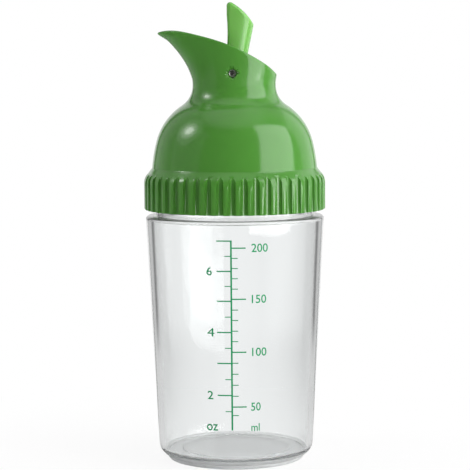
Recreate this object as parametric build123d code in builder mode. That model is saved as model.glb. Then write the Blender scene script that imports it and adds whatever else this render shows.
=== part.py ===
from build123d import *
import math
import os

# A hand shaker for mixing and pouring salad dressing. A clear tumbler with a
# graduated wall carries a screw cap. The cap narrows to a beak-shaped spout,
# and a thumb lever inside the beak lifts a soft stopper off the pour hole.
# Millimetres. The origin is the centre of the foot, +Z is up, the spout
# points along -X and the lever's pin lies along Y.

os.makedirs("parts", exist_ok=True)

# Driving sizes of the tumbler
body_base_radius = 28.76  # where the tapered wall would meet the bench
body_top_radius = 33.46
shoulder_height = 91.6
shoulder_round = 1.2
base_lift = 1.0  # the body's underside above the bench, inside the foot ring
base_round = 5.0
foot_radius = 25.6
foot_width = 5.6
foot_bevel = 0.4
recess_depth = 2.0  # hollow under the floor, from the bench
floor_thickness = 2.15
floor_bevel = 0.8
wall_base = 2.1
wall_top = 2.95
shoulder_thickness = 1.9
cavity_bevel = 0.5
neck_root_bevel = 0.5
neck_height = 12.7
neck_radius = 29.4
neck_wall = 2.2
mouth_bevel = 0.4

# Driving sizes of the cap's collar
collar_gap = 2.4  # clear neck seen between the shoulder and the collar
collar_radius = 33.9
collar_height = 15.6  # from the collar's lower edge to the foot of the dome
collar_slope_rise = 3.9  # the sloped top of the collar
collar_round = 5.0
collar_edge_bevel = 0.4
thread_clearance = 1.6  # between the neck and the collar's inside wall
flute_count = 48
flute_radius = 1.2
flute_depth = 1.3
flute_lean_radius = 6.0  # wide shallow cut that leans the edges of each rib
flute_lean_depth = 0.3
flute_phase = 5.9  # degrees from +X to the first flute

# Driving sizes of the dome
dome_radius = 30.9
dome_rise = 30.8  # from the collar's top to the waist
dome_bore_radius = 28.0
shelf_lead = 2.0  # straight bore above the gasket's shelf
dome_foot_round = 0.8
waist_radius = 15.55
head_wall = 1.9
# radius from waist to dome, height from dome foot to waist
dome_outline_shares = [(1, 0), (0.954, 0.175), (0.891, 0.32), (0.261, 0.755), (0, 1)]

# Driving sizes of the spout head
head_radius = 16.05
spout_reach = 28.9
rim_rise = 20.2  # from the waist to the crest of the rim
rim_round = 0.5
# height up the rim rise, back reach of the head radius, and front reach between
# the waist radius and the spout's reach; the sides stay upright
head_level_shares = [
    (0.0, 0.969, 0.0),
    (0.03, 0.969, 0.001),
    (0.08, 0.974, 0.006),
    (0.153, 0.99, 0.034),
    (0.277, 1.013, 0.105),
    (0.426, 1.035, 0.221),
    (0.574, 1.05, 0.371),
    (0.743, 1.06, 0.581),
    (0.83, 1.063, 0.723),
    (0.906, 1.065, 0.906),
    (0.96, 1.067, 0.992),
    (1.05, 1.07, 1.135),
]
# the spout's plan outline, from a circle at the waist to a beak at the rim
flank_shares = (0.552, 0.5)
beak_shares = (0.552, 0.25)
# the rim line: along the spout's reach in front, along the head radius behind
rim_front_shares = [(1.2, 0.8), (0.989, 0.965), (0.833, 1.0), (0.525, 0.933), (0.165, 0.785)]
rim_back_shares = [(0.539, 0.47), (0.821, 0.317), (1.008, 0.173), (1.2, 0.0)]

# Driving sizes of the valve in the head
valve_floor_rise = 0.9  # top of the valve floor above the waist
valve_floor_thickness = 1.8
pour_hole_radius = 3.5
pour_hole_offset = 8.5  # in front of the axis
seat_lip_width = 0.8
seat_lip_height = 0.6

# Driving sizes of the pin and its bosses
pin_offset = 0.7  # in front of the axis
pin_rise = 3.5  # above the valve floor
pin_radius = 1.325
pin_bore_radius = 0.8
pin_bore_depth = 3.0  # hollow in each end
pin_recess = 1.2  # below the outside of the head
pin_sink_radius = 1.7
boss_radius = 3.4
boss_span = 25.2  # between the two boss faces
hub_radius = 3.2
hub_side_clearance = 0.2
running_clearance = 0.05

# Driving sizes of the thumb lever
tab_front = 1.94  # thumb face in front of the pin
tab_half_width = 6.5
tab_root_back = 2.7  # back of the tab behind the pin, at the pin's height
tab_heel_rise = 3.2
tab_heel_back = 5.1
tab_lean = 11.6  # degrees, lean of the straight back edge
tab_corner_rise = 17.8  # back corner of the slanted top, above the pin
tab_top_rise = 26.95  # tip of the tab above the pin
tab_top_bulge = 0.75
thumb_hollow_radius = 70.0
thumb_hollow_depth = 0.3
tab_round = 1.3
# the tab's plan outline: back from the thumb face, and across its half width
tab_outline_shares = [(0, -1), (1, -1), (1.1, -1), (1.1, 1), (1, 1), (0, 1)]
flap_thickness = 2.2
flap_radius = 4.6
gusset_width = 1.8
gusset_rise = 5.0

# Driving sizes of the soft parts
stopper_thickness = 1.4
stopper_nose_length = 1.0
stopper_nose_radius = 3.2
stopper_nose_taper = 0.5
stopper_stem_radius = 1.5
stopper_bead_radius = 2.2
stopper_bead_height = 0.9
gasket_thickness = 1.9
gasket_inset = 0.3  # clear of the collar's inside wall
gasket_width = 3.1
gasket_bevel = 0.3

# One overrun serves every cut
overrun = 5.0

# Worked-out heights and radii
floor_top = recess_depth + floor_thickness
mouth_height = shoulder_height + neck_height
mouth_radius = neck_radius - neck_wall
collar_bottom = shoulder_height + collar_gap
collar_top = collar_bottom + collar_height
collar_bore = neck_radius + thread_clearance
gasket_top = mouth_height + gasket_thickness
waist_height = collar_top + dome_rise
valve_top = waist_height + valve_floor_rise
valve_bottom = valve_top - valve_floor_thickness
seat_top = valve_top + seat_lip_height
pin_height = valve_top + pin_rise
pin_x = -pin_offset
hole_x = -pour_hole_offset
flap_bottom = seat_top + stopper_thickness
flap_top = flap_bottom + flap_thickness
boss_face = boss_span / 2


def body_radius_at(height):
    lean = (body_top_radius - body_base_radius) / shoulder_height
    return body_base_radius + lean * height


def nearest(sketch, point):
    return sketch.vertices().sort_by_distance(point)[0]


def dome_wall(foot, waist):
    foot_r, foot_z = foot
    waist_r, waist_z = waist
    points = [
        (waist_r + (foot_r - waist_r) * out, foot_z + (waist_z - foot_z) * up)
        for out, up in dome_outline_shares
    ]
    with BuildLine() as wall:
        bulge = ThreePointArc(points[0], points[1], points[2])
        crown = TangentArc(points[2], points[3], tangent=bulge % 1)
        TangentArc(points[3], points[4], tangent=crown % 1)
    return wall.line


def beak_section(rise_share, back_share, reach_share, inset):
    side = waist_radius - inset
    back = head_radius * back_share - inset
    tip = waist_radius + (spout_reach - waist_radius) * reach_share - inset
    with BuildSketch(Plane.XY.offset(waist_height + rim_rise * rise_share)) as section:
        with BuildLine():
            if rise_share == 0:
                # the waist is a true circle, so it meets the dome edge to edge
                for start, end in (((0, -side), (side, 0)), ((side, 0), (0, side)), ((0, side), (-side, 0)), ((-side, 0), (0, -side))):
                    RadiusArc(start, end, -side)
            else:
                flank = tip * (flank_shares[0] + (flank_shares[1] - flank_shares[0]) * rise_share)
                beak = side * (beak_shares[0] + (beak_shares[1] - beak_shares[0]) * rise_share)
                heel = back * flank_shares[0]
                cheek = side * beak_shares[0]
                Bezier((0, -side), (heel, -side), (back, -cheek), (back, 0))
                Bezier((back, 0), (back, cheek), (heel, side), (0, side))
                Bezier((0, side), (-flank, side), (-tip, beak), (-tip, 0))
                Bezier((-tip, 0), (-tip, -beak), (-flank, -side), (0, -side))
        make_face()
    return section.sketch


# The tumbler: a thick clear wall with a foot ring, a square shoulder and a neck
cavity_top = shoulder_height - shoulder_thickness
base_corner = (body_radius_at(base_lift), base_lift)
shoulder_corner = (body_top_radius, shoulder_height)
neck_root = (neck_radius, shoulder_height)
mouth_corner = (neck_radius, mouth_height)
floor_corner = (body_radius_at(floor_top) - wall_base, floor_top)
ceiling_corner = (body_radius_at(cavity_top) - wall_top, cavity_top)
throat_corner = (mouth_radius, cavity_top)
with BuildPart() as bottle:
    with BuildSketch(Plane.XZ) as outline:
        with BuildLine():
            Polyline(
                (0, base_lift),
                base_corner,
                shoulder_corner,
                neck_root,
                mouth_corner,
                (0, mouth_height),
                close=True,
            )
        make_face()
        fillet(nearest(outline, base_corner), base_round)
        fillet(nearest(outline, shoulder_corner), shoulder_round)
        chamfer(nearest(outline, neck_root), neck_root_bevel)
        chamfer(nearest(outline, mouth_corner), mouth_bevel)
    revolve(axis=Axis.Z)

    # Foot ring under the rounded base, round a shallow recess
    with BuildSketch(Plane.XY) as foot:
        Circle(foot_radius)
        Circle(foot_radius - foot_width, mode=Mode.SUBTRACT)
    extrude(amount=floor_top / 2)
    with BuildSketch(Plane.XY) as recess:
        Circle(foot_radius - foot_width)
    extrude(amount=recess_depth, mode=Mode.SUBTRACT)
    chamfer(bottle.edges().filter_by(GeomType.CIRCLE).group_by(Axis.Z)[0], foot_bevel)

    # Inside of the tumbler, up through the neck
    with BuildSketch(Plane.XZ) as cavity:
        with BuildLine():
            Polyline(
                (0, floor_top),
                floor_corner,
                ceiling_corner,
                throat_corner,
                (mouth_radius, mouth_height + overrun),
                (0, mouth_height + overrun),
                close=True,
            )
        make_face()
        chamfer(nearest(cavity, floor_corner), floor_bevel)
        chamfer(nearest(cavity, ceiling_corner), cavity_bevel)
        chamfer(nearest(cavity, throat_corner), neck_root_bevel)
    revolve(axis=Axis.Z, mode=Mode.SUBTRACT)
bottle.part.label = "bottle"
export_step(bottle.part, "parts/bottle.step")


# The gasket: a soft flat ring between the tumbler's mouth and the cap
gasket_radius = collar_bore - gasket_inset
with BuildPart() as cap_gasket:
    with BuildSketch(Plane.XY.offset(mouth_height)):
        Circle(gasket_radius)
        Circle(gasket_radius - gasket_width, mode=Mode.SUBTRACT)
    extrude(amount=gasket_thickness)
    chamfer(cap_gasket.edges().filter_by(GeomType.CIRCLE), gasket_bevel)
cap_gasket.part.label = "cap_gasket"
export_step(cap_gasket.part, "parts/cap_gasket.step")


# The cap: fluted collar, dome and beak in one moulding
collar_foot = (collar_radius, collar_bottom)
collar_shoulder = (collar_radius, collar_top - collar_slope_rise)
dome_foot = (dome_radius, collar_top)
dome_bore_foot = (dome_bore_radius, gasket_top + shelf_lead)
flute_centre = collar_radius - flute_depth + flute_radius
flute_lean_centre = collar_radius - flute_lean_depth + flute_lean_radius
rim_points = [(-spout_reach * along, waist_height + rim_rise * up) for along, up in rim_front_shares]
rim_points += [(head_radius * along, waist_height + rim_rise * up) for along, up in rim_back_shares]
sky = waist_height + rim_rise + 2 * overrun
with BuildPart() as cap:
    with BuildSketch(Plane.XZ) as outline:
        with BuildLine():
            Polyline((0, waist_height), (0, collar_bottom), collar_foot, collar_shoulder, dome_foot)
            add(dome_wall(dome_foot, (waist_radius, waist_height)))
            Line((waist_radius, waist_height), (0, waist_height))
        make_face()
        chamfer(nearest(outline, collar_foot), collar_edge_bevel)
        fillet(nearest(outline, collar_shoulder), collar_round)
        fillet(nearest(outline, dome_foot), dome_foot_round)
    revolve(axis=Axis.Z)

    # Flutes run up into the sloped top, where each one ends in an arch
    with BuildSketch(Plane.XY.offset(collar_bottom - overrun)):
        with PolarLocations(flute_centre, flute_count, start_angle=flute_phase):
            Circle(flute_radius)
        with PolarLocations(flute_lean_centre, flute_count, start_angle=flute_phase):
            Circle(flute_lean_radius)
    extrude(amount=collar_height + overrun, mode=Mode.SUBTRACT)

    # Beak: a circle at the waist that grows into a teardrop at the rim
    loft(sections=[beak_section(*shares, 0) for shares in head_level_shares])

    # Bore for the neck, the gasket's shelf and the hollow of the dome
    with BuildSketch(Plane.XZ):
        with BuildLine():
            Polyline(
                (0, valve_bottom),
                (0, collar_bottom - overrun),
                (collar_bore, collar_bottom - overrun),
                (collar_bore, gasket_top),
                (dome_bore_radius, gasket_top),
                dome_bore_foot,
            )
            add(dome_wall(dome_bore_foot, (waist_radius - head_wall, valve_bottom)))
            Line((waist_radius - head_wall, valve_bottom), (0, valve_bottom))
        make_face()
    revolve(axis=Axis.Z, mode=Mode.SUBTRACT)

    # Trough of the beak, the same outline set in by the wall
    loft(sections=[beak_section(*shares, head_wall) for shares in head_level_shares], mode=Mode.SUBTRACT)

    # Valve floor across the waist, with a raised seat round the pour hole
    with BuildSketch(Plane.XY.offset(valve_bottom)):
        Circle(waist_radius - head_wall / 2)
    extrude(amount=valve_floor_thickness)
    with BuildSketch(Plane.XY.offset(valve_top)):
        with Locations((hole_x, 0)):
            Circle(pour_hole_radius + seat_lip_width)
    extrude(amount=seat_lip_height)
    with BuildSketch(Plane.XY.offset(valve_bottom)):
        with Locations((hole_x, 0)):
            Circle(pour_hole_radius)
    extrude(amount=valve_floor_thickness + seat_lip_height, mode=Mode.SUBTRACT)

    # Two bosses carry the pin, each standing on the valve floor
    boss_depth = waist_radius - head_wall / 2 - boss_face
    for side in (-1, 1):
        with BuildSketch(Plane.XZ.offset(side * boss_face)):
            with Locations((pin_x, pin_height)):
                Circle(boss_radius)
            with Locations((pin_x, (pin_height + valve_top) / 2)):
                Rectangle(2 * boss_radius, pin_rise)
        extrude(amount=side * boss_depth)

    # Rim line across the open top of the beak
    with BuildSketch(Plane.XZ) as rim_cut:
        with BuildLine():
            Spline(*rim_points)
            Polyline(rim_points[-1], (rim_points[-1][0], sky), (rim_points[0][0], sky), rim_points[0])
        make_face()
    extrude(amount=head_radius + overrun, both=True, mode=Mode.SUBTRACT)
    rim_faces = cap.faces().filter_by(GeomType.EXTRUSION)
    fillet([edge for face in rim_faces for edge in face.edges()], rim_round)

    # Bore for the pin, sunk where its ends lie below the outside
    with BuildSketch(Plane.XZ):
        with Locations((pin_x, pin_height)):
            Circle(pin_radius)
    extrude(amount=head_radius + overrun, both=True, mode=Mode.SUBTRACT)
    for side in (-1, 1):
        with BuildSketch(Plane.XZ.offset(side * (waist_radius - pin_recess))):
            with Locations((pin_x, pin_height)):
                Circle(pin_sink_radius)
        extrude(amount=side * (pin_recess + overrun), mode=Mode.SUBTRACT)
cap.part.label = "cap"
export_step(cap.part, "parts/cap.step")


# The pivot pin: a round pin with a hollow in each end, pressed into the bosses
pin_half_length = waist_radius - pin_recess
with BuildPart() as pivot_pin:
    with BuildSketch(Plane.XZ.offset(-pin_half_length)):
        with Locations((pin_x, pin_height)):
            Circle(pin_radius)
    extrude(amount=2 * pin_half_length)
    for side in (-1, 1):
        with BuildSketch(Plane.XZ.offset(side * (pin_half_length - pin_bore_depth))):
            with Locations((pin_x, pin_height)):
                Circle(pin_bore_radius)
        extrude(amount=side * pin_bore_depth, mode=Mode.SUBTRACT)
pivot_pin.part.label = "pivot_pin"
export_step(pivot_pin.part, "parts/pivot_pin.step")


# The thumb lever: a tab above the pin, a hub on it and a flap over the pour hole
tab_slope = math.tan(math.radians(tab_lean))
tab_end_rise = tab_top_rise + overrun
tab_levels = [
    (0, tab_root_back),
    (tab_heel_rise, tab_heel_back),
    (tab_end_rise, tab_heel_back + tab_slope * (tab_end_rise - tab_heel_rise)),
]
with BuildPart() as lever:
    for rise, back in tab_levels:
        with BuildSketch(Plane.XY.offset(pin_height + rise)):
            front = pin_x - tab_front
            depth = tab_front + back
            with BuildLine():
                Bezier(*[(front + depth * along, tab_half_width * across) for along, across in tab_outline_shares])
                Line((front, tab_half_width), (front, -tab_half_width))
            make_face()
    loft(ruled=True)

    # Slanted, slightly domed top
    corner_back = tab_heel_back + tab_slope * (tab_corner_rise - tab_heel_rise)
    with BuildSketch(Plane.XZ):
        with BuildLine():
            peak = (pin_x - tab_front, pin_height + tab_top_rise)
            corner = (pin_x + corner_back, pin_height + tab_corner_rise)
            middle = (
                (peak[0] + corner[0]) / 2 + tab_top_bulge,
                (peak[1] + corner[1]) / 2 + tab_top_bulge,
            )
            ThreePointArc(peak, middle, corner)
            Polyline(
                corner,
                (corner[0] + overrun, corner[1]),
                (corner[0] + overrun, pin_height + tab_end_rise + overrun),
                (peak[0] - overrun, pin_height + tab_end_rise + overrun),
                (peak[0] - overrun, peak[1]),
                peak,
            )
        make_face()
    extrude(amount=tab_half_width + overrun, both=True, mode=Mode.SUBTRACT)

    # Soft edges on the tab
    tab_edges = lever.edges().filter_by_position(
        Axis.Z, pin_height + tab_heel_rise, pin_height + tab_end_rise, inclusive=(False, True)
    )
    fillet(tab_edges, tab_round)

    # Shallow hollow for the thumb down the front face
    hollow_rise = (tab_heel_rise + tab_top_rise) / 2
    with BuildSketch(Plane.XZ):
        with Locations((pin_x - tab_front + thumb_hollow_depth - thumb_hollow_radius, pin_height + hollow_rise)):
            Circle(thumb_hollow_radius)
    extrude(amount=tab_half_width + overrun, both=True, mode=Mode.SUBTRACT)

    # Flap in front, with a rounded end over the seat
    with BuildSketch(Plane.XY.offset(flap_bottom)):
        with Locations((hole_x, 0)):
            Circle(flap_radius)
        with Locations(((hole_x + pin_x) / 2, 0)):
            Rectangle(pin_x - hole_x, 2 * flap_radius)
    extrude(amount=flap_thickness)

    # Gusset between the thumb face and the flap
    with BuildSketch(Plane.XZ):
        with BuildLine():
            Polyline(
                (pin_x, flap_top),
                (hole_x + stopper_bead_radius, flap_top),
                (pin_x - tab_front, flap_top + gusset_rise),
                (pin_x, flap_top + gusset_rise),
                close=True,
            )
        make_face()
    extrude(amount=gusset_width / 2, both=True)

    # Hub on the pin
    with BuildSketch(Plane.XZ):
        with Locations((pin_x, pin_height)):
            Circle(hub_radius)
    extrude(amount=boss_face - hub_side_clearance, both=True)
    with BuildSketch(Plane.XZ):
        with Locations((pin_x, pin_height)):
            Circle(pin_radius + running_clearance)
    extrude(amount=boss_span, both=True, mode=Mode.SUBTRACT)

    # Hole for the stopper's stem
    with BuildSketch(Plane.XY.offset(flap_bottom)):
        with Locations((hole_x, 0)):
            Circle(stopper_stem_radius)
    extrude(amount=flap_thickness, mode=Mode.SUBTRACT)
lever.part.label = "lever"
export_step(lever.part, "parts/lever.step")


# The stopper: a soft disc and nose, held in the flap by a stem and a bead
with BuildPart() as stopper:
    with BuildSketch(Plane.XZ) as outline:
        nose_end = (hole_x + stopper_nose_radius - stopper_nose_taper, seat_top - stopper_nose_length)
        bead_rim = (hole_x + stopper_bead_radius, flap_top + stopper_bead_height)
        with BuildLine():
            Polyline(
                (hole_x, nose_end[1]),
                nose_end,
                (hole_x + stopper_nose_radius, seat_top),
                (hole_x + flap_radius, seat_top),
                (hole_x + flap_radius, flap_bottom),
                (hole_x + stopper_stem_radius, flap_bottom),
                (hole_x + stopper_stem_radius, flap_top),
                (hole_x + stopper_bead_radius, flap_top),
                bead_rim,
                (hole_x, bead_rim[1]),
                close=True,
            )
        make_face()
        chamfer(nearest(outline, bead_rim), stopper_bead_height / 2)
    revolve(axis=Axis((hole_x, 0, 0), (0, 0, 1)))
stopper.part.label = "stopper"
export_step(stopper.part, "parts/stopper.step")
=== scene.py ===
import math

import bpy
from mathutils import Matrix, Quaternion, Vector


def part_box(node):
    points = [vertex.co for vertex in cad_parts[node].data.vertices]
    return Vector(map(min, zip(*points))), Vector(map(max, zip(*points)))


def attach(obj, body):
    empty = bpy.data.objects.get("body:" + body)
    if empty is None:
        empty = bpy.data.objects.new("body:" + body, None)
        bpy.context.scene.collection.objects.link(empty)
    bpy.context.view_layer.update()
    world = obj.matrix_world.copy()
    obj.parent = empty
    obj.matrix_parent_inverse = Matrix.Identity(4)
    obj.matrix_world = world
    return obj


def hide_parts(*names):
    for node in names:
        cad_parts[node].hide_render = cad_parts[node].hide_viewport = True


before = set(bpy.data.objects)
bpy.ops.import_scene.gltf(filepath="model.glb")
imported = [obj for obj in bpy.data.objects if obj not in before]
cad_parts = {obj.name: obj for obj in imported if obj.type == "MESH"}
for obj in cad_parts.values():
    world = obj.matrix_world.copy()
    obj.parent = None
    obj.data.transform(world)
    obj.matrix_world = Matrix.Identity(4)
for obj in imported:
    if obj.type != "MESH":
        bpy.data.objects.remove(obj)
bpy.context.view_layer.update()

bl_info = {
    "name": "Dressing Shaker Bottle",
    "version": (1, 0, 0),
    "blender": (4, 5, 0),
    "location": "View3D > Sidebar > Shaker",
    "description": "Finishes the dressing shaker bottle over its packed solids",
    "category": "Add Mesh",
}


# Sizes and colours a user would change

class TumblerSizes(bpy.types.PropertyGroup):
    base_radius: bpy.props.FloatProperty(
        name="Base radius", description="Tapered wall carried down to the bench",
        default=0.02876, unit="LENGTH")
    top_radius: bpy.props.FloatProperty(
        name="Top radius", description="Tapered wall carried up to the shoulder",
        default=0.03346, unit="LENGTH")
    shoulder_height: bpy.props.FloatProperty(
        name="Shoulder height", description="Top of the square shoulder", default=0.0916, unit="LENGTH")
    shoulder_round: bpy.props.FloatProperty(
        name="Shoulder round", description="Radius of the shoulder's edge", default=0.001, unit="LENGTH")
    base_lift: bpy.props.FloatProperty(
        name="Base lift", description="Underside above the bench", default=0.001, unit="LENGTH")
    base_round: bpy.props.FloatProperty(
        name="Base round", description="Radius of the rounded base", default=0.005, unit="LENGTH")
    foot_radius: bpy.props.FloatProperty(
        name="Foot radius", description="Outside of the foot ring", default=0.0256, unit="LENGTH")
    foot_width: bpy.props.FloatProperty(
        name="Foot width", description="Width of the foot ring", default=0.0056, unit="LENGTH")
    recess_depth: bpy.props.FloatProperty(
        name="Recess depth", description="Hollow under the floor", default=0.002, unit="LENGTH")
    floor_top: bpy.props.FloatProperty(
        name="Floor", description="Inside floor above the bench", default=0.00415, unit="LENGTH")
    floor_round: bpy.props.FloatProperty(
        name="Floor round", description="Radius round the inside floor", default=0.001, unit="LENGTH")
    wall_base: bpy.props.FloatProperty(
        name="Wall at the base", description="Wall thickness low down", default=0.0021, unit="LENGTH")
    wall_top: bpy.props.FloatProperty(
        name="Wall at the top", description="Wall thickness under the shoulder", default=0.00295, unit="LENGTH")
    shoulder_wall: bpy.props.FloatProperty(
        name="Shoulder wall", description="Thickness of the shoulder", default=0.0009, unit="LENGTH")
    ceiling_round: bpy.props.FloatProperty(
        name="Ceiling round", description="Radius inside the shoulder", default=0.0005, unit="LENGTH")
    neck_radius: bpy.props.FloatProperty(
        name="Neck radius", description="Outside of the neck", default=0.0294, unit="LENGTH")
    neck_wall: bpy.props.FloatProperty(
        name="Neck wall", description="Thickness of the neck", default=0.0022, unit="LENGTH")
    mouth_height: bpy.props.FloatProperty(
        name="Mouth height", description="Top of the neck", default=0.1043, unit="LENGTH")
    steps: bpy.props.IntProperty(
        name="Steps", description="Sides round the tumbler", default=160, min=32)


class ThreadSizes(bpy.types.PropertyGroup):
    lead: bpy.props.FloatProperty(
        name="Lead", description="Rise in one turn", default=0.008, unit="LENGTH")
    starts: bpy.props.IntProperty(name="Starts", description="Threads side by side", default=2, min=1)
    proud: bpy.props.FloatProperty(
        name="Height of the ridge", description="How far a ridge stands proud", default=0.0011, unit="LENGTH")
    sunk: bpy.props.FloatProperty(
        name="Root", description="How deep a ridge's root sits in its wall", default=0.0001, unit="LENGTH")
    crest_share: bpy.props.FloatProperty(
        name="Crest", description="Width of a ridge's crest as a share of its root", default=0.35)
    run_out: bpy.props.FloatProperty(
        name="Run-out", description="How far each end of a ridge tapers",
        default=math.radians(22), subtype="ANGLE")
    neck_turn: bpy.props.FloatProperty(
        name="Neck thread turn", description="How far each ridge runs round the neck",
        default=math.radians(300), subtype="ANGLE")
    neck_width: bpy.props.FloatProperty(
        name="Neck ridge width", description="Width of a neck ridge at its root", default=0.0022, unit="LENGTH")
    neck_low: bpy.props.FloatProperty(
        name="Neck thread start", description="Height where the neck's ridges start",
        default=0.0955, unit="LENGTH")
    cap_turn: bpy.props.FloatProperty(
        name="Cap thread turn", description="How far each ridge runs round the collar's bore",
        default=math.radians(200), subtype="ANGLE")
    cap_width: bpy.props.FloatProperty(
        name="Cap ridge width", description="Width of a cap ridge at its root", default=0.0016, unit="LENGTH")
    cap_low: bpy.props.FloatProperty(
        name="Cap thread start", description="Height where the cap's ridges start, midway between the neck's",
        default=0.0975, unit="LENGTH")
    collar_bore: bpy.props.FloatProperty(
        name="Collar bore", description="Inside radius of the collar", default=0.031, unit="LENGTH")


class ScaleSizes(bpy.types.PropertyGroup):
    azimuth: bpy.props.FloatProperty(
        name="Azimuth", description="Turn of the scale from the front, towards the spout",
        default=math.radians(-2.6), subtype="ANGLE")
    line_width: bpy.props.FloatProperty(
        name="Line width", description="Width of the printed lines", default=0.00062, unit="LENGTH")
    long_tick: bpy.props.FloatProperty(
        name="Long tick", description="Length of a numbered tick", default=0.0053, unit="LENGTH")
    short_tick: bpy.props.FloatProperty(
        name="Short tick", description="Length of a plain tick", default=0.0024, unit="LENGTH")
    digit_height: bpy.props.FloatProperty(
        name="Digit height", description="Height of the printed digits", default=0.0031, unit="LENGTH")
    digits_right: bpy.props.FloatProperty(
        name="Right digits", description="From the line to the millilitre digits' left edge",
        default=0.0073, unit="LENGTH")
    digits_left: bpy.props.FloatProperty(
        name="Left digits", description="From the line to the ounce digits' left edge",
        default=0.0091, unit="LENGTH")
    condense: bpy.props.FloatProperty(
        name="Condensed", description="Width of the digits as a share of the font's", default=0.98)
    weight: bpy.props.FloatProperty(
        name="Weight", description="Extra thickness of the letters' strokes", default=0.00004, unit="LENGTH")
    ink_depth: bpy.props.FloatProperty(
        name="Ink depth", description="Thickness of the printed ink", default=0.00004, unit="LENGTH")


class Colours(bpy.types.PropertyGroup):
    cap_green: bpy.props.FloatVectorProperty(
        name="Cap", description="Green of the cap", subtype="COLOR", size=3,
        default=(0.066, 0.232, 0.031), min=0, max=1)
    lever_green: bpy.props.FloatVectorProperty(
        name="Lever", description="Lighter green of the thumb lever", subtype="COLOR", size=3,
        default=(0.155, 0.41, 0.08), min=0, max=1)
    clear: bpy.props.FloatVectorProperty(
        name="Clear plastic", description="Tint of the tumbler", subtype="COLOR", size=3,
        default=(0.965, 0.975, 0.975), min=0, max=1)
    ink: bpy.props.FloatVectorProperty(
        name="Ink", description="Green of the printed scale", subtype="COLOR", size=3,
        default=(0.004, 0.29, 0.105), min=0, max=1)
    silicone: bpy.props.FloatVectorProperty(
        name="Silicone", description="Milky gasket and stopper", subtype="COLOR", size=3,
        default=(0.72, 0.73, 0.71), min=0, max=1)


# Heights of the printed marks above the bench: millilitres, then ounces
MILLILITRE_MARKS = {
    40: 0.02094, 50: 0.0241, 60: 0.02811, 70: 0.03219, 80: 0.03626, 90: 0.04033, 100: 0.04435,
    110: 0.04829, 120: 0.05213, 130: 0.05604, 140: 0.05987, 150: 0.06379, 160: 0.06752,
    170: 0.07131, 180: 0.07502, 190: 0.0787, 200: 0.0824,
}
OUNCE_MARKS = {
    1.5: 0.02239, 2: 0.02837, 2.5: 0.03426, 3: 0.04022, 3.5: 0.04582, 4: 0.05163,
    4.5: 0.05728, 5: 0.06307, 5.5: 0.06851, 6: 0.07397, 6.5: 0.07944, 7: 0.08497,
}
SCALE_FOOT = 0.0154
# Half the width of a tick as a share of half the line's: a numbered tick, then a plain one
LONG_TICK_SHARE = 0.75
SHORT_TICK_SHARE = 0.55
# Printed labels: words, side of the line, nudge to the right and height of the middle, then
# shares of the digits' height, width and extra weight. The 4 has a small counter, so it has no
# extra weight
LEFT, RIGHT = "left", "right"
LABELS = (
    ("100", RIGHT, 0.0001, MILLILITRE_MARKS[100], 1.0, 1.0, 1.0),
    ("150", RIGHT, 0.0001, MILLILITRE_MARKS[150], 1.0, 1.0, 1.0),
    ("200", RIGHT, 0.0001, MILLILITRE_MARKS[200], 1.0, 1.0, 1.0),
    ("2", LEFT, 0.0, OUNCE_MARKS[2], 1.0, 1.14, 1.0),
    ("6", LEFT, 0.0, OUNCE_MARKS[6], 1.0, 1.14, 1.0),
    ("4", LEFT, 0.0001, OUNCE_MARKS[4], 1.03, 1.3, 0.0),
    ("50", RIGHT, -0.0004, MILLILITRE_MARKS[50], 1.0, 0.91, 1.0),
    ("ml", RIGHT, -0.00035, SCALE_FOOT + 0.00105, 0.91, 0.9, 1.0),
    ("oz", LEFT, -0.0004, SCALE_FOOT + 0.001, 0.8, 0.9, 1.0),
)
# Size of the font that gives capitals one unit high
FONT_SHARE = 1.39
# Bars over this long are cut into lengths of about this much, to bend round the wall
BAR_LENGTH = 0.0012
BAR_CUT = 0.0009
INK_STAND_OFF = 0.00001

# Small rounds of the tumbler, and the rings up its wall, outside and inside
FOOT_EDGE = 0.0004
NECK_ROOT_ROUND = 0.0003
MOUTH_ROUND = 0.0004
THROAT_ROUND = 0.0006
WALL_RINGS = 12
# Height and width of a thread's ridge at its very end, as shares of the full ridge
END_HEIGHT = 0.1
END_WIDTH = 0.4

# Angles, in degrees, under which edges shade smooth
SOFT_EDGE = 35
CRISP_EDGE = 28


# Modelling helpers

def deselect():
    """Leave edit mode and select nothing."""
    if bpy.context.object and bpy.context.object.mode != "OBJECT":
        bpy.ops.object.mode_set(mode="OBJECT")
    bpy.ops.object.select_all(action="DESELECT")


def only(obj):
    """Select one object and make it the active one."""
    deselect()
    obj.select_set(True)
    bpy.context.view_layer.objects.active = obj


def rounded(before, corner, after, radius, steps=8):
    """Points of a round of this radius where two straight runs meet."""
    a = Vector(before) - Vector(corner)
    b = Vector(after) - Vector(corner)
    a.normalize()
    b.normalize()
    half = a.angle(b) / 2
    reach = radius / math.tan(half)
    middle = Vector(corner) + (a + b).normalized() * (radius / math.sin(half))
    first = Vector(corner) + a * reach - middle
    turn = first.angle_signed(Vector(corner) + b * reach - middle)
    points = []
    for step in range(steps + 1):
        angle = -turn * step / steps
        spoke = Vector((
            first.x * math.cos(angle) - first.y * math.sin(angle),
            first.x * math.sin(angle) + first.y * math.cos(angle),
        ))
        points.append(tuple(middle + spoke))
    return points


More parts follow.
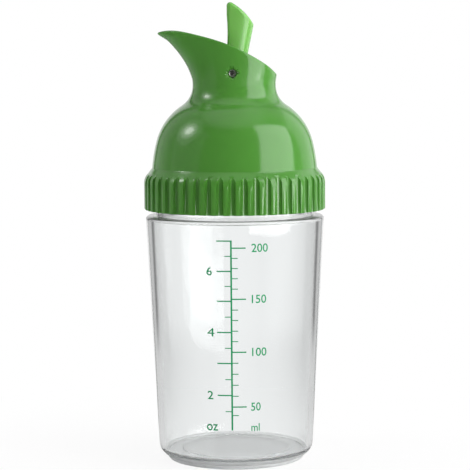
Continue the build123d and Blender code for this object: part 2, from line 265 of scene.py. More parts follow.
def spun(name, profile, steps):
    """Extrude a profile point by point in the XZ plane and spin it round Z. A plane merged to one
    point gives the profile its start."""
    deselect()
    bpy.ops.mesh.primitive_plane_add(size=0.001, location=(0, 0, 0))
    obj = bpy.context.object
    obj.name = name
    bpy.ops.object.mode_set(mode="EDIT")
    bpy.ops.mesh.select_all(action="SELECT")
    bpy.ops.mesh.merge(type="CENTER")
    here = (profile[0][0], 0, profile[0][1])
    bpy.ops.transform.translate(value=here)
    for radius, height in profile[1:]:
        there = (radius, 0, height)
        step = tuple(there[i] - here[i] for i in range(3))
        bpy.ops.mesh.extrude_vertices_move(TRANSFORM_OT_translate={"value": step})
        here = there
    bpy.ops.mesh.select_all(action="SELECT")
    bpy.ops.mesh.spin(steps=steps, angle=2 * math.pi, center=(0, 0, 0), axis=(0, 0, 1))
    bpy.ops.mesh.select_all(action="SELECT")
    bpy.ops.mesh.remove_doubles(threshold=1e-7)
    bpy.ops.mesh.normals_make_consistent(inside=False)
    bpy.ops.object.mode_set(mode="OBJECT")
    return obj


def smooth(obj, angle):
    only(obj)
    bpy.ops.object.shade_smooth_by_angle(angle=math.radians(angle), keep_sharp_edges=False)


def merged_copy(node, name):
    """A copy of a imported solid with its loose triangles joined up."""
    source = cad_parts[node]
    copy = bpy.data.objects.new(name, source.data.copy())
    bpy.context.scene.collection.objects.link(copy)
    only(copy)
    bpy.ops.object.mode_set(mode="EDIT")
    bpy.ops.mesh.select_all(action="SELECT")
    bpy.ops.mesh.remove_doubles(threshold=1e-6)
    bpy.ops.object.mode_set(mode="OBJECT")
    copy.data.materials.clear()
    return copy


def finish_piece(obj, material, body, node=None):
    """Give a piece its material and its body, and hide the solid it stands for."""
    obj.data.materials.clear()
    obj.data.materials.append(material)
    if node:
        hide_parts(node)
    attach(obj, body)


# Materials

# Roughness and clearness of the clear plastic against the height above the bench
MATT_LEVELS = (
    (0.0, 0.34), (0.0031, 0.34), (0.0037, 0.0),
    (0.0898, 0.0), (0.0906, 0.15), (0.0925, 0.15), (0.0935, 0.0),
)
CLEAR_LEVELS = (
    (0.0, 0.62), (0.0031, 0.62), (0.0037, 1.0),
    (0.0902, 1.0), (0.0908, 0.82), (0.0925, 0.82), (0.0935, 1.0),
)


def grey(level):
    return (level, level, level, 1)


def shades(colour, darker, lighter):
    """A darker and a lighter shade of a colour, to drift between."""
    return [tuple(min(1, channel * share) for channel in colour) + (1,) for share in (darker, lighter)]


def computed(nodes, links, operation, *values):
    """Result of a maths node over sockets and plain numbers."""
    node = nodes.new("ShaderNodeMath")
    node.operation = operation
    for socket, value in zip(node.inputs, values):
        if isinstance(value, float):
            socket.default_value = value
        else:
            links.new(value, socket)
    return node.outputs[0]


def split(nodes, links, point):
    """The X, Y and Z sockets of a point."""
    parts = nodes.new("ShaderNodeSeparateXYZ")
    links.new(point, parts.inputs["Vector"])
    return parts.outputs["X"], parts.outputs["Y"], parts.outputs["Z"]


def stepped(nodes, links, source, source_top, stops, stop_top):
    """A level that runs through stops of (value, level). The source and the stops may have units of
    their own, each from 0 to its top."""
    share = computed(nodes, links, "DIVIDE", source, source_top)
    ramp = nodes.new("ShaderNodeValToRGB")
    row = ramp.color_ramp.elements
    while len(row) < len(stops):
        row.new(0.5)
    for stop, (value, level) in zip(row, stops):
        stop.position = value / stop_top
        stop.color = grey(level)
    links.new(share, ramp.inputs["Fac"])
    return ramp.outputs["Color"]



def new_material(name):
    material = bpy.data.materials.new(name)
    material.use_nodes = True
    nodes = material.node_tree.nodes
    shader = nodes["Principled BSDF"]
    return material, nodes, material.node_tree.links, shader


def add_bump(nodes, links, shader, scale, strength, distance, detail=2.0):
    """Fine noise in the surface. Returns the coordinates and the noise, for the colour to use."""
    place = nodes.new("ShaderNodeTexCoord")
    noise = nodes.new("ShaderNodeTexNoise")
    noise.inputs["Scale"].default_value = scale
    noise.inputs["Detail"].default_value = detail
    bump = nodes.new("ShaderNodeBump")
    bump.inputs["Strength"].default_value = strength
    bump.inputs["Distance"].default_value = distance
    links.new(place.outputs["Object"], noise.inputs["Vector"])
    links.new(noise.outputs["Fac"], bump.inputs["Height"])
    links.new(bump.outputs["Normal"], shader.inputs["Normal"])
    return place, noise


def ramp_between(nodes, links, source, low, high):
    """A colour that goes from low to high over the middle of a noise's range."""
    ramp = nodes.new("ShaderNodeValToRGB")
    ramp.color_ramp.elements[0].position = 0.35
    ramp.color_ramp.elements[1].position = 0.65
    ramp.color_ramp.elements[0].color = low
    ramp.color_ramp.elements[1].color = high
    links.new(source, ramp.inputs["Fac"])
    return ramp.outputs["Color"]


def moulded_green(name, colour, roughness, translucency):
    """Glossy coloured plastic with a slow drift in its colour and polish."""
    material, nodes, links, shader = new_material(name)
    place, _ = add_bump(nodes, links, shader, 260, 0.05, 0.00008)
    drift = nodes.new("ShaderNodeTexNoise")
    drift.inputs["Scale"].default_value = 38
    drift.inputs["Detail"].default_value = 3
    links.new(place.outputs["Object"], drift.inputs["Vector"])
    tint = ramp_between(nodes, links, drift.outputs["Fac"], *shades(colour, 0.94, 1.05))
    links.new(tint, shader.inputs["Base Color"])
    polish = ramp_between(nodes, links, drift.outputs["Fac"], grey(roughness * 0.85), grey(roughness * 1.2))
    links.new(polish, shader.inputs["Roughness"])
    shader.inputs["IOR"].default_value = 1.49
    shader.inputs["Subsurface Weight"].default_value = translucency
    shader.inputs["Subsurface Radius"].default_value = (0.4, 1.0, 0.25)
    shader.inputs["Subsurface Scale"].default_value = 0.004
    return material


def clear_plastic(name, colour, height):
    """Clear plastic, polished on the wall, matt under the floor and a little soft on the shoulder."""
    material, nodes, links, shader = new_material(name)
    place, noise = add_bump(nodes, links, shader, 55, 0.06, 0.0002, detail=1.0)
    polished = ramp_between(nodes, links, noise.outputs["Fac"], grey(0.012), grey(0.035))
    _, _, rise = split(nodes, links, place.outputs["Object"])
    matt = stepped(nodes, links, rise, height, MATT_LEVELS, height)
    links.new(computed(nodes, links, "MAXIMUM", polished, matt), shader.inputs["Roughness"])
    clear = stepped(nodes, links, rise, height, CLEAR_LEVELS, height)
    links.new(clear, shader.inputs["Transmission Weight"])
    shader.inputs["Base Color"].default_value = tuple(colour) + (1,)
    shader.inputs["Specular Tint"].default_value = grey(0.3)
    shader.inputs["IOR"].default_value = 1.54
    depth = nodes.new("ShaderNodeVolumeAbsorption")
    depth.inputs["Color"].default_value = (0.5, 0.54, 0.54, 1)
    depth.inputs["Density"].default_value = 15.0
    links.new(depth.outputs["Volume"], nodes["Material Output"].inputs["Volume"])
    return material


def printed_ink(name, colour):
    """Thin matt ink, a little uneven."""
    material, nodes, links, shader = new_material(name)
    _, noise = add_bump(nodes, links, shader, 2600, 0.08, 0.00002)
    tint = ramp_between(nodes, links, noise.outputs["Fac"], *shades(colour, 0.88, 1.08))
    links.new(tint, shader.inputs["Base Color"])
    shader.inputs["Roughness"].default_value = 0.45
    shader.inputs["Specular IOR Level"].default_value = 0.2
    return material


def soft_silicone(name, colour):
    """Milky soft rubber."""
    material, nodes, links, shader = new_material(name)
    _, noise = add_bump(nodes, links, shader, 420, 0.12, 0.0001)
    tint = ramp_between(nodes, links, noise.outputs["Fac"], *shades(colour, 0.92, 1.05))
    links.new(tint, shader.inputs["Base Color"])
    shader.inputs["Roughness"].default_value = 0.48
    shader.inputs["Subsurface Weight"].default_value = 0.25
    shader.inputs["Subsurface Radius"].default_value = (1.0, 1.0, 0.9)
    shader.inputs["Subsurface Scale"].default_value = 0.002
    return material


def drawn_steel(name):
    """Bright steel with a slightly uneven polish."""
    material, nodes, links, shader = new_material(name)
    _, noise = add_bump(nodes, links, shader, 1800, 0.1, 0.00003)
    polish = ramp_between(nodes, links, noise.outputs["Fac"], grey(0.2), grey(0.34))
    links.new(polish, shader.inputs["Roughness"])
    tint = ramp_between(nodes, links, noise.outputs["Fac"], (0.5, 0.49, 0.47, 1), (0.68, 0.67, 0.65, 1))
    links.new(tint, shader.inputs["Base Color"])
    shader.inputs["Metallic"].default_value = 1.0
    return material


# Pieces

def tumbler_profile(s):
    """Outline of the tumbler's wall from the axis under the floor round to the axis inside."""
    lean = (s.top_radius - s.base_radius) / s.shoulder_height

    def wall(height):
        return s.base_radius + lean * height

    base = (wall(s.base_lift), s.base_lift)
    shoulder = (s.top_radius, s.shoulder_height)
    neck_root = (s.neck_radius, s.shoulder_height)
    mouth = (s.neck_radius, s.mouth_height)
    inner_mouth = (s.neck_radius - s.neck_wall, s.mouth_height)
    ceiling = s.shoulder_height - s.shoulder_wall
    throat = (inner_mouth[0], ceiling)
    corner = (wall(ceiling) - s.wall_top, ceiling)
    floor_corner = (wall(s.floor_top) - s.wall_base, s.floor_top)

    # The foot ring meets the rounded base between two of its points
    round_base = rounded((0, s.base_lift), base, shoulder, s.base_round, 12)
    join = next(i for i, point in enumerate(round_base) if point[0] > s.foot_radius)
    low, high = round_base[join - 1], round_base[join]
    share = (s.foot_radius - low[0]) / (high[0] - low[0])
    foot_top = low[1] + (high[1] - low[1]) * share
    foot_in = s.foot_radius - s.foot_width
    profile = [
        (0, s.recess_depth),
        (foot_in, s.recess_depth),
        (foot_in, FOOT_EDGE),
        (foot_in + FOOT_EDGE, 0),
        (s.foot_radius - FOOT_EDGE, 0),
        (s.foot_radius, FOOT_EDGE),
        (s.foot_radius, foot_top),
    ]
    profile += round_base[join:]

    wall_foot = round_base[-1][1]
    wall_head = s.shoulder_height - s.shoulder_round
    for ring in range(1, WALL_RINGS):
        height = wall_foot + (wall_head - wall_foot) * ring / WALL_RINGS
        profile.append((wall(height), height))
    profile += rounded(base, shoulder, neck_root, s.shoulder_round, 6)
    profile += rounded(shoulder, neck_root, mouth, NECK_ROOT_ROUND, 4)
    profile += rounded(neck_root, mouth, inner_mouth, MOUTH_ROUND, 4)
    profile += rounded(mouth, inner_mouth, throat, MOUTH_ROUND, 4)
    profile += rounded(inner_mouth, throat, corner, THROAT_ROUND, 4)
    profile += rounded(throat, corner, floor_corner, s.ceiling_round, 8)

    inner_round = rounded(corner, floor_corner, (0, s.floor_top), s.floor_round, 10)
    top, foot = profile[-1], inner_round[0]
    for ring in range(1, WALL_RINGS):
        share = ring / WALL_RINGS
        profile.append((top[0] + (foot[0] - top[0]) * share, top[1] + (foot[1] - top[1]) * share))
    profile += inner_round
    profile += [(floor_corner[0] * 0.5, s.floor_top), (0, s.floor_top)]
    return profile


def thread_ridge(name, sizes, root, crest, width, low, turn, start):
    """A helical ridge: a small outline screwed upwards round Z, its ends run out into the wall."""
    deselect()
    bpy.ops.mesh.primitive_plane_add(size=1, location=(0, 0, 0))
    ridge = bpy.context.object
    ridge.name = name
    half_root = width / 2
    half_crest = half_root * sizes.crest_share
    outline = [(root, -half_root), (crest, -half_crest), (root, half_root), (crest, half_crest)]
    for vertex, (radius, rise) in zip(ridge.data.vertices, outline):
        vertex.co = (radius * math.cos(start), radius * math.sin(start), low + rise)
    bpy.ops.object.mode_set(mode="EDIT")
    bpy.ops.mesh.select_all(action="SELECT")
    bpy.ops.mesh.delete(type="ONLY_FACE")
    bpy.ops.object.mode_set(mode="OBJECT")
    screw = ridge.modifiers.new("screw", "SCREW")
    screw.angle = turn
    screw.screw_offset = sizes.lead * turn / (2 * math.pi)
    screw.steps = screw.render_steps = round(math.degrees(turn) / 4)
    bpy.ops.object.modifier_apply(modifier=screw.name)
    for vertex in ridge.data.vertices:
        x, y, z = vertex.co
        along = (math.atan2(y, x) - start + 1e-6) % (2 * math.pi)
        from_end = min(along, max(0, turn - along)) / sizes.run_out
        share = min(1, END_HEIGHT + (1 - END_HEIGHT) * from_end)
        radius = root + (math.hypot(x, y) - root) * share
        middle = low + sizes.lead * along / (2 * math.pi)
        angle = start + along
        rise = (z - middle) * (END_WIDTH + (1 - END_WIDTH) * share)
        vertex.co = (radius * math.cos(angle), radius * math.sin(angle), middle + rise)
    bpy.ops.object.mode_set(mode="EDIT")
    bpy.ops.mesh.select_all(action="SELECT")
    bpy.ops.mesh.fill_holes(sides=4)
    bpy.ops.mesh.select_all(action="SELECT")
    bpy.ops.mesh.normals_make_consistent(inside=False)
    bpy.ops.object.mode_set(mode="OBJECT")
    return ridge


class SHAKER_OT_tumbler(bpy.types.Operator):
    """Spin the clear tumbler over its solid, with the thread round its neck"""
    bl_idname = "shaker.tumbler"
    bl_label = "Tumbler"

    def execute(self, context):
        sizes = context.scene.shaker_tumbler
        thread = context.scene.shaker_thread
        colours = context.scene.shaker_colours
        tumbler = spun("tumbler_wall", tumbler_profile(sizes), sizes.steps)
        for turn in range(thread.starts):
            ridge = thread_ridge(
                "neck_ridge", thread, sizes.neck_radius - thread.sunk, sizes.neck_radius + thread.proud,
                thread.neck_width, thread.neck_low, thread.neck_turn, 2 * math.pi * turn / thread.starts)
            only(tumbler)
            union = tumbler.modifiers.new("thread", "BOOLEAN")
            union.operation = "UNION"
            union.solver = "EXACT"
            union.object = ridge
            bpy.ops.object.modifier_apply(modifier=union.name)
            bpy.data.objects.remove(ridge)
        smooth(tumbler, SOFT_EDGE)
        clear = clear_plastic("clear moulded plastic", colours.clear, sizes.mouth_height)
        finish_piece(tumbler, clear, "tumbler", "bottle")
        return {"FINISHED"}


def shade_round_pin(mesh, rim=0.0027, near=0.0032, far=0.009):
    """Shade the edges of the pin's holes as the wall round them, whose long thin faces would show.
    The edges lie within rim of the pin's axis, and the wall that they copy between near and far."""
    wall_off_middle = 0.01
    facing_out = 0.6
    low, high = (Vector(corner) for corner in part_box("pivot_pin"))
    pin = (low + high) / 2
    normals = [corner.vector.copy() for corner in mesh.corner_normals]
    places = [mesh.vertices[loop.vertex_index].co for loop in mesh.loops]
    off_axis = [math.hypot(place.x - pin.x, place.z - pin.z) for place in places]
    for side in (-1, 1):
        outward = [
            i for i, normal in enumerate(normals)
            if off_axis[i] < far and side * places[i].y > wall_off_middle and side * normal.y > facing_out
        ]
        wall = [i for i in outward if off_axis[i] > near]
        shaded = {}
        for i in outward:
            if off_axis[i] < rim:
                pulls = (normals[k] / (places[i] - places[k]).length ** 3 for k in wall)
                shaded[i] = sum(pulls, Vector())
        for i, normal in shaded.items():
            normals[i] = normal.normalized()
    mesh.normals_split_custom_set(normals)


class SHAKER_OT_cap(bpy.types.Operator):
    """Finish the fluted cap with its dome and beak, and thread its collar"""
    bl_idname = "shaker.cap"
    bl_label = "Cap"

    def execute(self, context):
        thread = context.scene.shaker_thread
        colours = context.scene.shaker_colours
        cap = merged_copy("cap", "cap_moulding")
        smooth(cap, CRISP_EDGE)
        shade_round_pin(cap.data)
        green = moulded_green("gloss green plastic", colours.cap_green, 0.13, translucency=0.15)
        finish_piece(cap, green, "lid", "cap")
        for turn in range(thread.starts):
            ridge = thread_ridge(
                f"collar_thread_{turn + 1}", thread, thread.collar_bore + thread.sunk,
                thread.collar_bore - thread.proud, thread.cap_width, thread.cap_low, thread.cap_turn,
                2 * math.pi * turn / thread.starts)
            smooth(ridge, SOFT_EDGE)
            finish_piece(ridge, green, "lid")
        return {"FINISHED"}


class SHAKER_OT_lever(bpy.types.Operator):
    """Finish the thumb lever with its hub and flap"""
    bl_idname = "shaker.lever"
    bl_label = "Thumb lever"

    def execute(self, context):
        colours = context.scene.shaker_colours
        lever = merged_copy("lever", "thumb_lever")
        smooth(lever, CRISP_EDGE)
        green = moulded_green("light green plastic", colours.lever_green, 0.2, translucency=0.35)
        finish_piece(lever, green, "valve", "lever")
        return {"FINISHED"}


class SHAKER_OT_soft_parts(bpy.types.Operator):
    """Finish the gasket, the stopper and the pin"""
    bl_idname = "shaker.soft_parts"
    bl_label = "Gasket, stopper and pin"

    def execute(self, context):
        colours = context.scene.shaker_colours
        milky = soft_silicone("milky silicone", colours.silicone)
        steel = drawn_steel("drawn steel")
        for node, name, material, body, slot in (
            ("cap_gasket", "gasket_ring", milky, "seal", "gasket_rubber"),
            ("stopper", "stopper_plug", milky, "valve", "stopper_rubber"),
            ("pivot_pin", "lever_pin", steel, "lid", "pin_steel"),
        ):
            piece = merged_copy(node, name)
            smooth(piece, SOFT_EDGE)
            finish_piece(piece, material, body, node)
        return {"FINISHED"}


# The printed scale is laid out flat as width against height, then wrapped

def flat_bar(left, bottom, right, top, thickness):
    """A flat box, cut across its width where it is long."""
    deselect()
    bpy.ops.mesh.primitive_cube_add(size=1, location=(0, 0, 0))
    bar = bpy.context.object
    bpy.ops.object.mode_set(mode="EDIT")
    bpy.ops.mesh.select_all(action="SELECT")
    bpy.ops.transform.resize(value=(right - left, top - bottom, thickness))
    bpy.ops.transform.translate(value=((left + right) / 2, (bottom + top) / 2, thickness / 2))
    bpy.ops.mesh.select_all(action="DESELECT")
    bpy.ops.mesh.select_mode(type="EDGE")
    bpy.ops.object.mode_set(mode="OBJECT")
    mesh = bar.data
    for edge in mesh.edges:
        a, b = (mesh.vertices[i].co for i in edge.vertices)
        edge.select = abs(a.x - b.x) > BAR_LENGTH
    bpy.ops.object.mode_set(mode="EDIT")
    bpy.ops.mesh.subdivide(number_cuts=max(1, round((right - left) / BAR_CUT)))
    bpy.ops.object.mode_set(mode="OBJECT")
    return bar


def flat_text(words, left, middle, height, thickness, weight, condense):
    """Letters with their left edge and their middle here, this high over their tallest letter."""
    deselect()
    bpy.ops.object.text_add(location=(0, 0, 0))
    text = bpy.context.object
    text.data.body = words
    text.data.size = height * FONT_SHARE
    text.data.offset = weight
    text.data.extrude = thickness / 2
    text.data.resolution_u = 4
    bpy.ops.object.convert(target="MESH")
    word = bpy.context.object
    xs = [vertex.co.x for vertex in word.data.vertices]
    ys = [vertex.co.y for vertex in word.data.vertices]
    grow = height / (max(ys) - min(ys))
    bpy.ops.object.mode_set(mode="EDIT")
    bpy.ops.mesh.select_all(action="SELECT")
    bpy.ops.mesh.remove_doubles(threshold=1e-7)
    bpy.ops.transform.translate(value=(-min(xs), -(min(ys) + max(ys)) / 2, thickness / 2))
    bpy.ops.object.mode_set(mode="OBJECT")
    for vertex in word.data.vertices:
        x, y, z = vertex.co
        vertex.co = (left + x * grow * condense, middle + y * grow, z)
    return word


def wrap_on_wall(obj, tumbler, azimuth, stand_off):
    """Bend a flat layout round the tapered wall: x runs round it, y runs up it, z stands off it."""
    lean = (tumbler.top_radius - tumbler.base_radius) / tumbler.shoulder_height
    for vertex in obj.data.vertices:
        along, height, off = vertex.co
        radius = tumbler.base_radius + lean * height + stand_off + off
        angle = -math.pi / 2 + azimuth + along / radius
        vertex.co = (radius * math.cos(angle), radius * math.sin(angle), height)


class SHAKER_OT_scale(bpy.types.Operator):
    """Print the volume scale round the front of the wall"""
    bl_idname = "shaker.scale"
    bl_label = "Printed scale"

    def execute(self, context):
        s = context.scene.shaker_scale
        tumbler = context.scene.shaker_tumbler
        colours = context.scene.shaker_colours
        half = s.line_width / 2
        numbered = (s.long_tick, half * LONG_TICK_SHARE)
        plain = (s.short_tick, half * SHORT_TICK_SHARE)
        bars = [(-half, SCALE_FOOT, half, OUNCE_MARKS[7] + numbered[1])]
        for volume, height in MILLILITRE_MARKS.items():
            length, thin = numbered if volume % 50 == 0 else plain
            bars.append((half, height - thin, length, height + thin))
        for volume, height in OUNCE_MARKS.items():
            length, thin = numbered if volume == round(volume) else plain
            bars.append((-length, height - thin, -half, height + thin))
        pieces = [flat_bar(*bar, s.ink_depth) for bar in bars]
        for words, side, nudge, middle, high, wide, weight in LABELS:
            edge = s.digits_right if side == RIGHT else -s.digits_left
            pieces.append(flat_text(
                words, edge + nudge, middle, s.digit_height * high, s.ink_depth,
                s.weight * weight, s.condense * wide))
        deselect()
        for piece in pieces:
            piece.select_set(True)
        context.view_layer.objects.active = pieces[0]
        bpy.ops.object.join()
        scale = context.object
        scale.name = "printed_scale"
        wrap_on_wall(scale, tumbler, s.azimuth, INK_STAND_OFF)
        bpy.ops.object.mode_set(mode="EDIT")
        bpy.ops.mesh.select_all(action="SELECT")
        bpy.ops.mesh.quads_convert_to_tris()
        bpy.ops.mesh.normals_make_consistent(inside=False)
        bpy.ops.object.mode_set(mode="OBJECT")
        ink = printed_ink("green print", colours.ink)
        finish_piece(scale, ink, "tumbler")
        return {"FINISHED"}


# Stage

LAMP_AIM = Vector((0, 0, 0.11))
# Levels of the studio against the angle, in degrees, off the line behind the object
MIRRORED_LEVELS = (
    (0, 1.0), (24, 1.0), (27, 0.1), (31, 0.1), (36, 0.6),
    (58, 0.55), (75, 0.35), (90, 0.16), (180, 0.13),
)
THROUGH_LEVELS = (
    (0, 0.97), (6, 0.97), (11, 0.88), (18, 0.73), (26, 0.58), (34, 0.48),
    (37, 0.14), (41, 0.14), (45, 0.55), (60, 0.85), (90, 0.92),
)
# Lamps: name, direction from the object (turn and rise), distance, size and power. A lamp that
# doesn't face the object has the direction that it faces back along. Then its roll and shape
LAMPS = (
    ("key softbox", (69, 19), 1.0, (1.01, 1.38), 16.0, (53.2, 18.5), -12.3, "RECTANGLE"),
    ("low softbox", (46, -5.8), 0.62, (0.66, 0.07), 0.85, None, 0.0, "RECTANGLE"),
    ("right fill", (128, 15), 1.1, (0.8, 1.0), 1.6, None, 0.0, "RECTANGLE"),
    ("left softbox", (-75, 18), 1.1, (1.0, 1.2), 1.2, None, 0.0, "RECTANGLE"),
    ("left lamp", (-87, 38), 1.0, (0.21, 0.21), 0.7, None, 0.0, "ELLIPSE"),
    ("left glow", (-87, 38), 1.01, (0.42, 0.42), 0.8, None, 0.0, "ELLIPSE"),
    ("left haze", (-87, 38), 1.02, (0.7, 0.7), 0.7, None, 0.0, "ELLIPSE"),
)
# The floor near the object: how far it reaches, and the level of its painted glow from the middle out to the
# side
NEAR_REACH = (0.2, 0.42)
SIDE_SPAN = (0.0, 0.09)
SIDE_LEVELS = (0.95, 0.72)
# Where the object's shadow fades out, and how much of the floor's plain white is mixed in there
SHADOW_SPAN = (0.03, 0.16)
SHADOW_SHARES = (0.88, 1.0)
# Rise of the directions over which the dim room turns to the pale ceiling
CEILING_SPAN = (0.75, 0.95)
FLOOR_SIZE = 12
FLOOR_DROP = 0.00005
CAMERA_PLACE = (0, -0.700, 0.14998)
CAMERA_LENS = 143.16
# Degrees: how far the camera looks down, and how far it is rolled
CAMERA_DIP = 5.38
CAMERA_ROLL = -0.32


def studio_way(turn, rise):
    """A direction from the object: turned from the camera's side to the right, then raised."""
    turn, rise = math.radians(turn), math.radians(rise)
    return Vector((
        math.cos(rise) * math.sin(turn),
        -math.cos(rise) * math.cos(turn),
        math.sin(rise),
    ))


def soft_lamp(name, way, distance, size, power, faced, roll, shape):
    """A soft lamp out along a studio direction, facing the object unless faced says otherwise."""
    lamp = bpy.data.lights.new(name, "AREA")
    lamp.shape = shape
    lamp.size, lamp.size_y = size
    lamp.energy = power
    obj = bpy.data.objects.new(name, lamp)
    bpy.context.scene.collection.objects.link(obj)
    obj.location = LAMP_AIM + studio_way(*way) * distance
    facing = -studio_way(*(faced or way))
    turn = facing.to_track_quat("-Z", "Y") @ Quaternion((0, 0, 1), math.radians(roll))
    obj.rotation_euler = turn.to_euler()


def angle_off_axis(nodes, links, x, y):
    """Angle of a bearing off the line behind the object."""
    flat = nodes.new("ShaderNodeCombineXYZ")
    links.new(x, flat.inputs["X"])
    links.new(y, flat.inputs["Y"])
    unit = nodes.new("ShaderNodeVectorMath")
    unit.operation = "NORMALIZE"
    links.new(flat.outputs["Vector"], unit.inputs[0])
    _, along, _ = split(nodes, links, unit.outputs["Vector"])
    return computed(nodes, links, "ARCCOSINE", along)


def distance_out(nodes, links, point):
    """Distance of a point from the foot of the object."""
    reach = nodes.new("ShaderNodeVectorMath")
    reach.operation = "LENGTH"
    links.new(point, reach.inputs[0])
    return reach.outputs["Value"]


def mixed(nodes, links, share, first, second):
    """A grey level between two others, by a share from 0 to 1."""
    mix = nodes.new("ShaderNodeMix")
    mix.data_type = "FLOAT"
    links.new(share, mix.inputs["Factor"])
    for socket, value in ((mix.inputs["A"], first), (mix.inputs["B"], second)):
        if isinstance(value, float):
            socket.default_value = value
        else:
            links.new(value, socket)
    return mix.outputs["Result"]


def eased(nodes, links, source, span, levels):
    """A level that goes smoothly from one value to another while the source crosses a span."""
    step = nodes.new("ShaderNodeMapRange")
    step.interpolation_type = "SMOOTHSTEP"
    step.inputs["From Min"].default_value, step.inputs["From Max"].default_value = span
    step.inputs["To Min"].default_value, step.inputs["To Max"].default_value = levels
    links.new(source, step.inputs["Value"])
    return step.outputs["Result"]


def surroundings(nodes, links, path, point):
    """Level of the studio round the object: a white screen behind it that falls off to dim sides.
    What shows through the clear wall stays pale in front and behind, and greys towards the sides."""
    x, y, _ = split(nodes, links, point)
    behind = angle_off_axis(nodes, links, x, y)
    mirrored = stepped(nodes, links, behind, math.pi, MIRRORED_LEVELS, 180)
    either = angle_off_axis(nodes, links, x, computed(nodes, links, "ABSOLUTE", y))
    through = stepped(nodes, links, either, math.pi, THROUGH_LEVELS, 180)
    # Near the object a bearing turns fast, so the floor's painted glow there dims by its distance to the side
    aside = computed(nodes, links, "ABSOLUTE", x)
    near = eased(nodes, links, aside, SIDE_SPAN, SIDE_LEVELS)
    far = eased(nodes, links, distance_out(nodes, links, point), NEAR_REACH, (0.0, 1.0))
    through = mixed(nodes, links, far, near, through)
    return mixed(nodes, links, path.outputs["Is Transmission Ray"], mirrored, through)


def pale_floor_material():
    """A pale floor: it keeps the object's soft shadow near it and runs out to plain white. Seen in reflections
    and through the clear wall it glows with painted studio light instead, dimmer towards the sides.
    """
    material = bpy.data.materials.new("pale floor")
    material.use_nodes = True
    nodes = material.node_tree.nodes
    links = material.node_tree.links
    nodes.clear()
    out = nodes.new("ShaderNodeOutputMaterial")
    lit = nodes.new("ShaderNodeBsdfDiffuse")
    lit.inputs["Color"].default_value = grey(0.88)
    white = nodes.new("ShaderNodeEmission")
    path = nodes.new("ShaderNodeLightPath")
    place = nodes.new("ShaderNodeTexCoord").outputs["Object"]
    # Painted studio light: for reflected and through rays the floor glows at the studio's levels rather than
    # being lit
    level = surroundings(nodes, links, path, place)
    level = mixed(nodes, links, path.outputs["Is Camera Ray"], level, 1.0)
    links.new(level, white.inputs["Strength"])
    plain = computed(nodes, links, "SUBTRACT", 1.0, path.outputs["Is Diffuse Ray"])
    reach = eased(nodes, links, distance_out(nodes, links, place), SHADOW_SPAN, SHADOW_SHARES)
    mix = nodes.new("ShaderNodeMixShader")
    links.new(computed(nodes, links, "MULTIPLY", plain, reach), mix.inputs["Fac"])
    links.new(lit.outputs[0], mix.inputs[1])
    links.new(white.outputs[0], mix.inputs[2])
    links.new(mix.outputs[0], out.inputs["Surface"])
    return material


def studio_world():
    """A white screen behind the object, dim sides, a dim room in front and a pale ceiling."""
    world = bpy.data.worlds.new("studio")
    bpy.context.scene.world = world
    world.use_nodes = True
    nodes = world.node_tree.nodes
    links = world.node_tree.links
    nodes.clear()
    out = nodes.new("ShaderNodeOutputWorld")
    path = nodes.new("ShaderNodeLightPath")
    place = nodes.new("ShaderNodeTexCoord").outputs["Generated"]
    level = surroundings(nodes, links, path, place)
    _, _, height = split(nodes, links, place)
    overhead = eased(nodes, links, height, CEILING_SPAN, (0.0, 1.0))
    level = computed(nodes, links, "MAXIMUM", level, overhead)
    level = mixed(nodes, links, path.outputs["Is Camera Ray"], level, 1.0)
    room = nodes.new("ShaderNodeBackground")
    room.inputs["Color"].default_value = grey(1)
    links.new(level, room.inputs["Strength"])
    links.new(room.outputs[0], out.inputs["Surface"])


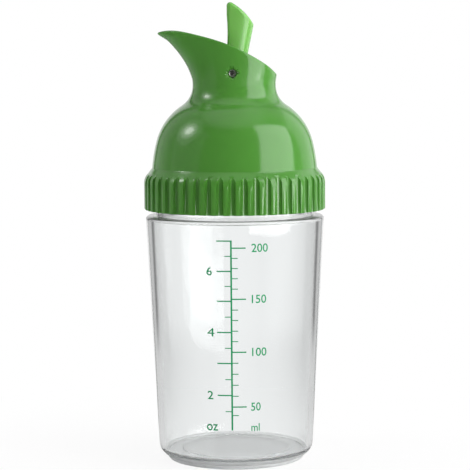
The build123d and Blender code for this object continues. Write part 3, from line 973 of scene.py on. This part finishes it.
class SHAKER_OT_stage(bpy.types.Operator):
    """Set the pale floor, the studio light and the camera"""
    bl_idname = "shaker.stage"
    bl_label = "Stage"

    def execute(self, context):
        deselect()
        bpy.ops.mesh.primitive_plane_add(size=FLOOR_SIZE, location=(0, 0, -FLOOR_DROP))
        floor = context.object
        floor.name = "floor"
        floor.data.materials.append(pale_floor_material())
        studio_world()
        for lamp in LAMPS:
            soft_lamp(*lamp)

        camera = bpy.data.cameras.new("camera")
        camera.sensor_width = 36
        camera.lens = CAMERA_LENS
        camera.clip_start = 0.01
        viewer = bpy.data.objects.new("camera", camera)
        context.scene.collection.objects.link(viewer)
        viewer.location = CAMERA_PLACE
        viewer.rotation_mode = "XYZ"
        tilt = Matrix.Rotation(math.radians(90 - CAMERA_DIP), 4, "X")
        roll = Matrix.Rotation(math.radians(CAMERA_ROLL), 4, "Z")
        viewer.rotation_euler = (tilt @ roll).to_euler("XYZ")
        context.scene.camera = viewer
        context.scene.view_settings.view_transform = "Standard"
        return {"FINISHED"}


class SHAKER_PT_panel(bpy.types.Panel):
    """Lists the pieces of the shaker bottle"""
    bl_label = "Shaker bottle"
    bl_idname = "SHAKER_PT_panel"
    bl_space_type = "VIEW_3D"
    bl_region_type = "UI"
    bl_category = "Shaker"

    def draw(self, context):
        for piece in PIECES:
            self.layout.operator(piece.bl_idname)


SIZES = (TumblerSizes, ThreadSizes, ScaleSizes, Colours)
PIECES = (
    SHAKER_OT_tumbler, SHAKER_OT_scale, SHAKER_OT_cap, SHAKER_OT_lever,
    SHAKER_OT_soft_parts, SHAKER_OT_stage,
)


def register():
    for cls in SIZES + PIECES + (SHAKER_PT_panel,):
        bpy.utils.register_class(cls)
    bpy.types.Scene.shaker_tumbler = bpy.props.PointerProperty(type=TumblerSizes)
    bpy.types.Scene.shaker_thread = bpy.props.PointerProperty(type=ThreadSizes)
    bpy.types.Scene.shaker_scale = bpy.props.PointerProperty(type=ScaleSizes)
    bpy.types.Scene.shaker_colours = bpy.props.PointerProperty(type=Colours)


def unregister():
    del bpy.types.Scene.shaker_colours
    del bpy.types.Scene.shaker_scale
    del bpy.types.Scene.shaker_thread
    del bpy.types.Scene.shaker_tumbler
    for cls in reversed(SIZES + PIECES + (SHAKER_PT_panel,)):
        bpy.utils.unregister_class(cls)


def main():
    register()
    bpy.ops.shaker.tumbler()
    bpy.ops.shaker.scale()
    bpy.ops.shaker.cap()
    bpy.ops.shaker.lever()
    bpy.ops.shaker.soft_parts()
    bpy.ops.shaker.stage()
    deselect()


if __name__ == "__main__":
    main()
